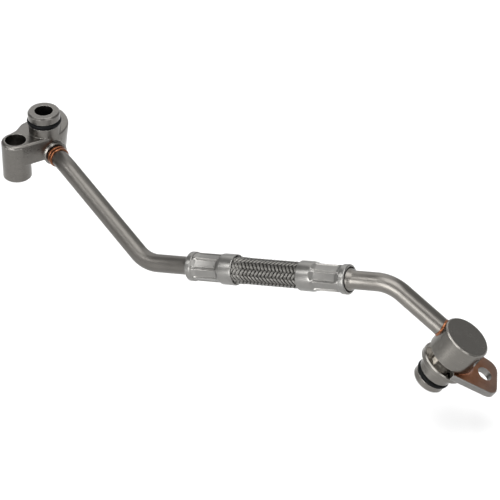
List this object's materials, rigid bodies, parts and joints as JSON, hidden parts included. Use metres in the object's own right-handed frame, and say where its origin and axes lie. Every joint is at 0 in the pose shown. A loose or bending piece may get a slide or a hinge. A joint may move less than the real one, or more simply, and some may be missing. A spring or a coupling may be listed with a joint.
{
  "type": "turbo oil feed line",
  "caption": "Bent steel pipe, short wire-braided hose and second bent pipe that carry oil from a bolted block with an O-ring spigot to a plug with an O-ring spigot and a forked fixing plate",
  "frame": {"origin": "axis of the inlet spigot on the block's seat face", "axes": "+Z along the inlet spigot, +X level towards the outlet plug"},
  "size_m": [0.251, 0.0418, 0.0556],
  "materials": {
    "machined_steel": "fine machined",
    "pipe_steel": "drawn, satin",
    "ferrule_steel": "plated, satin",
    "braid_wire": "woven wire",
    "braze_copper": "copper braze, glossy",
    "seal_rubber": "smooth"
  },
  "bodies": {
    "root": {"inlet_block": "machined_steel", "inlet_o_ring": "seal_rubber", "inlet_braze_inner": "braze_copper", "inlet_braze_outer": "braze_copper", "inlet_tube": "pipe_steel", "inlet_ferrule": "ferrule_steel", "hose_liner": "seal_rubber", "hose_braid": "braid_wire", "outlet_ferrule": "ferrule_steel", "outlet_tube": "pipe_steel", "outlet_tube_braze": "braze_copper", "outlet_body": "machined_steel", "flange_plate": "machined_steel", "flange_braze": "braze_copper", "outlet_o_ring": "seal_rubber"}
  },
  "joints": []
}
